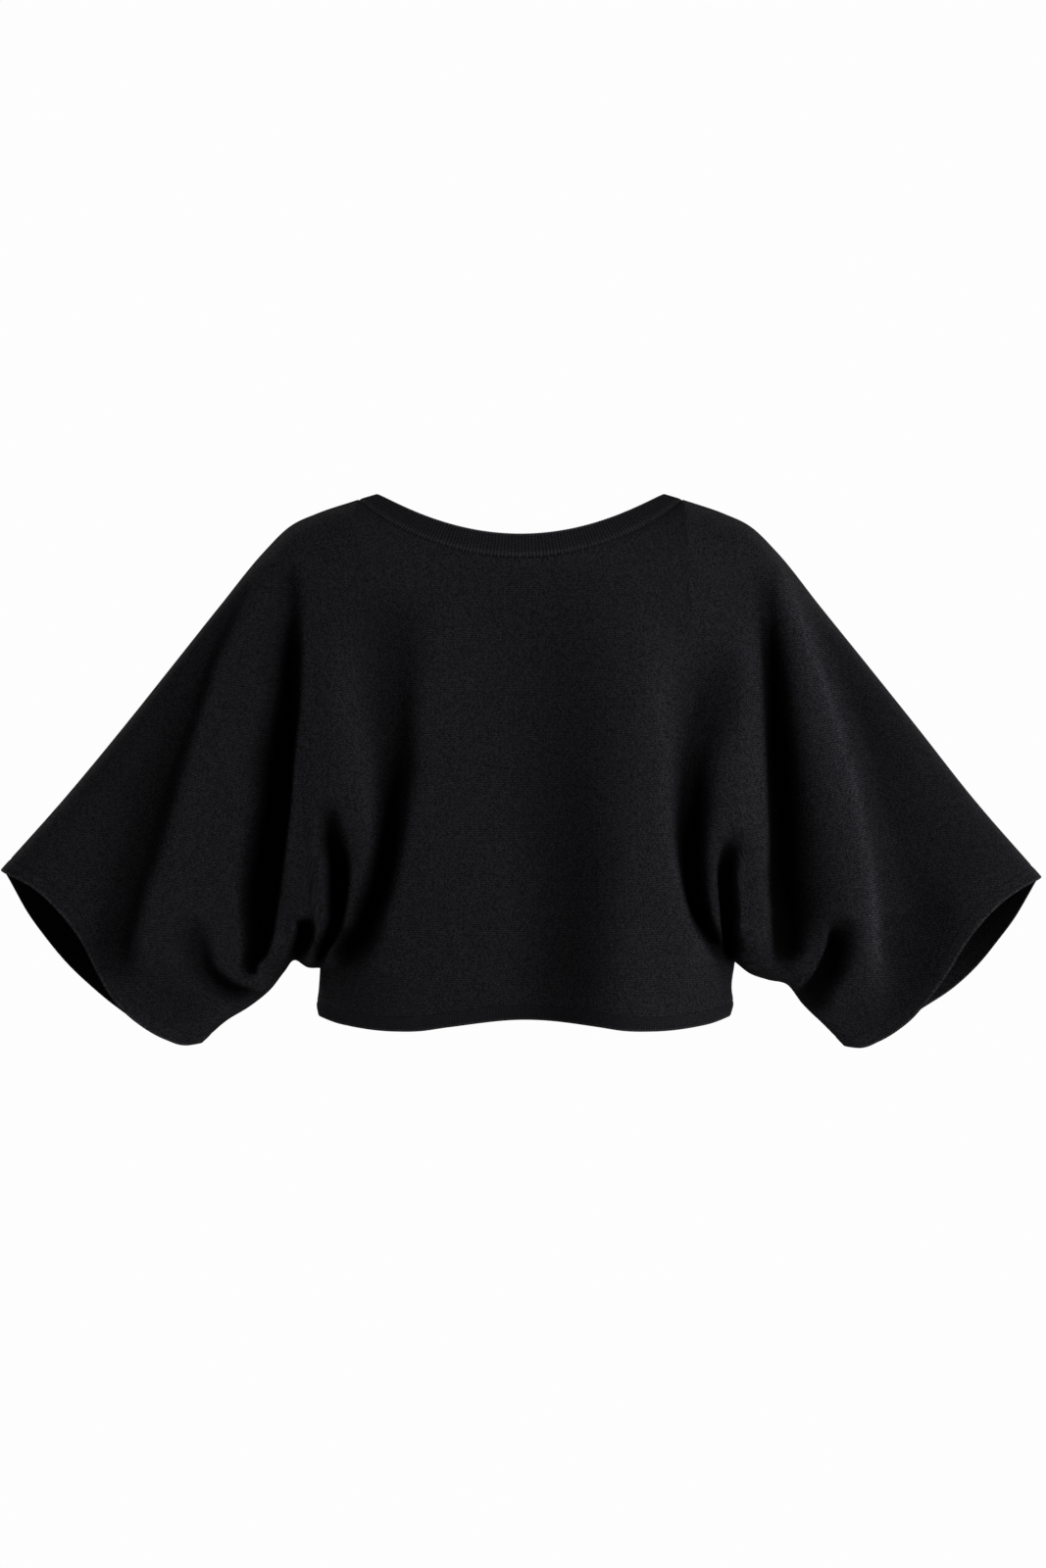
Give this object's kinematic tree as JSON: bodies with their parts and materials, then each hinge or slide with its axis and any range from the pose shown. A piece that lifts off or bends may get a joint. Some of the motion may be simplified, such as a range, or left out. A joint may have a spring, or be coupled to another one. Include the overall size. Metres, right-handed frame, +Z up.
{
  "type": "batwing knit top",
  "caption": "Cropped black batwing knit top in its worn shape, hollow and open at a wide ribbed boat neck, banded hem and wide three-quarter cuffs.",
  "frame": {"origin": "midway between the two highest points of the neck edge, where the wearer's shoulders carry the top", "axes": "-Y is the front, +X is the wearer's left, +Z is up"},
  "size_m": [0.959, 0.2158, 0.5164],
  "materials": {
    "front": "matte fine knit",
    "back": "matte fine knit",
    "neck_band": "matte rib knit",
    "hem_band": "matte rib knit",
    "cuff_left": "matte rib knit",
    "cuff_right": "matte rib knit"
  },
  "bodies": {
    "root": {"front": "front", "back": "back", "neck_band": "neck_band", "hem_band": "hem_band", "cuff_left": "cuff_left", "cuff_right": "cuff_right"}
  },
  "joints": []
}
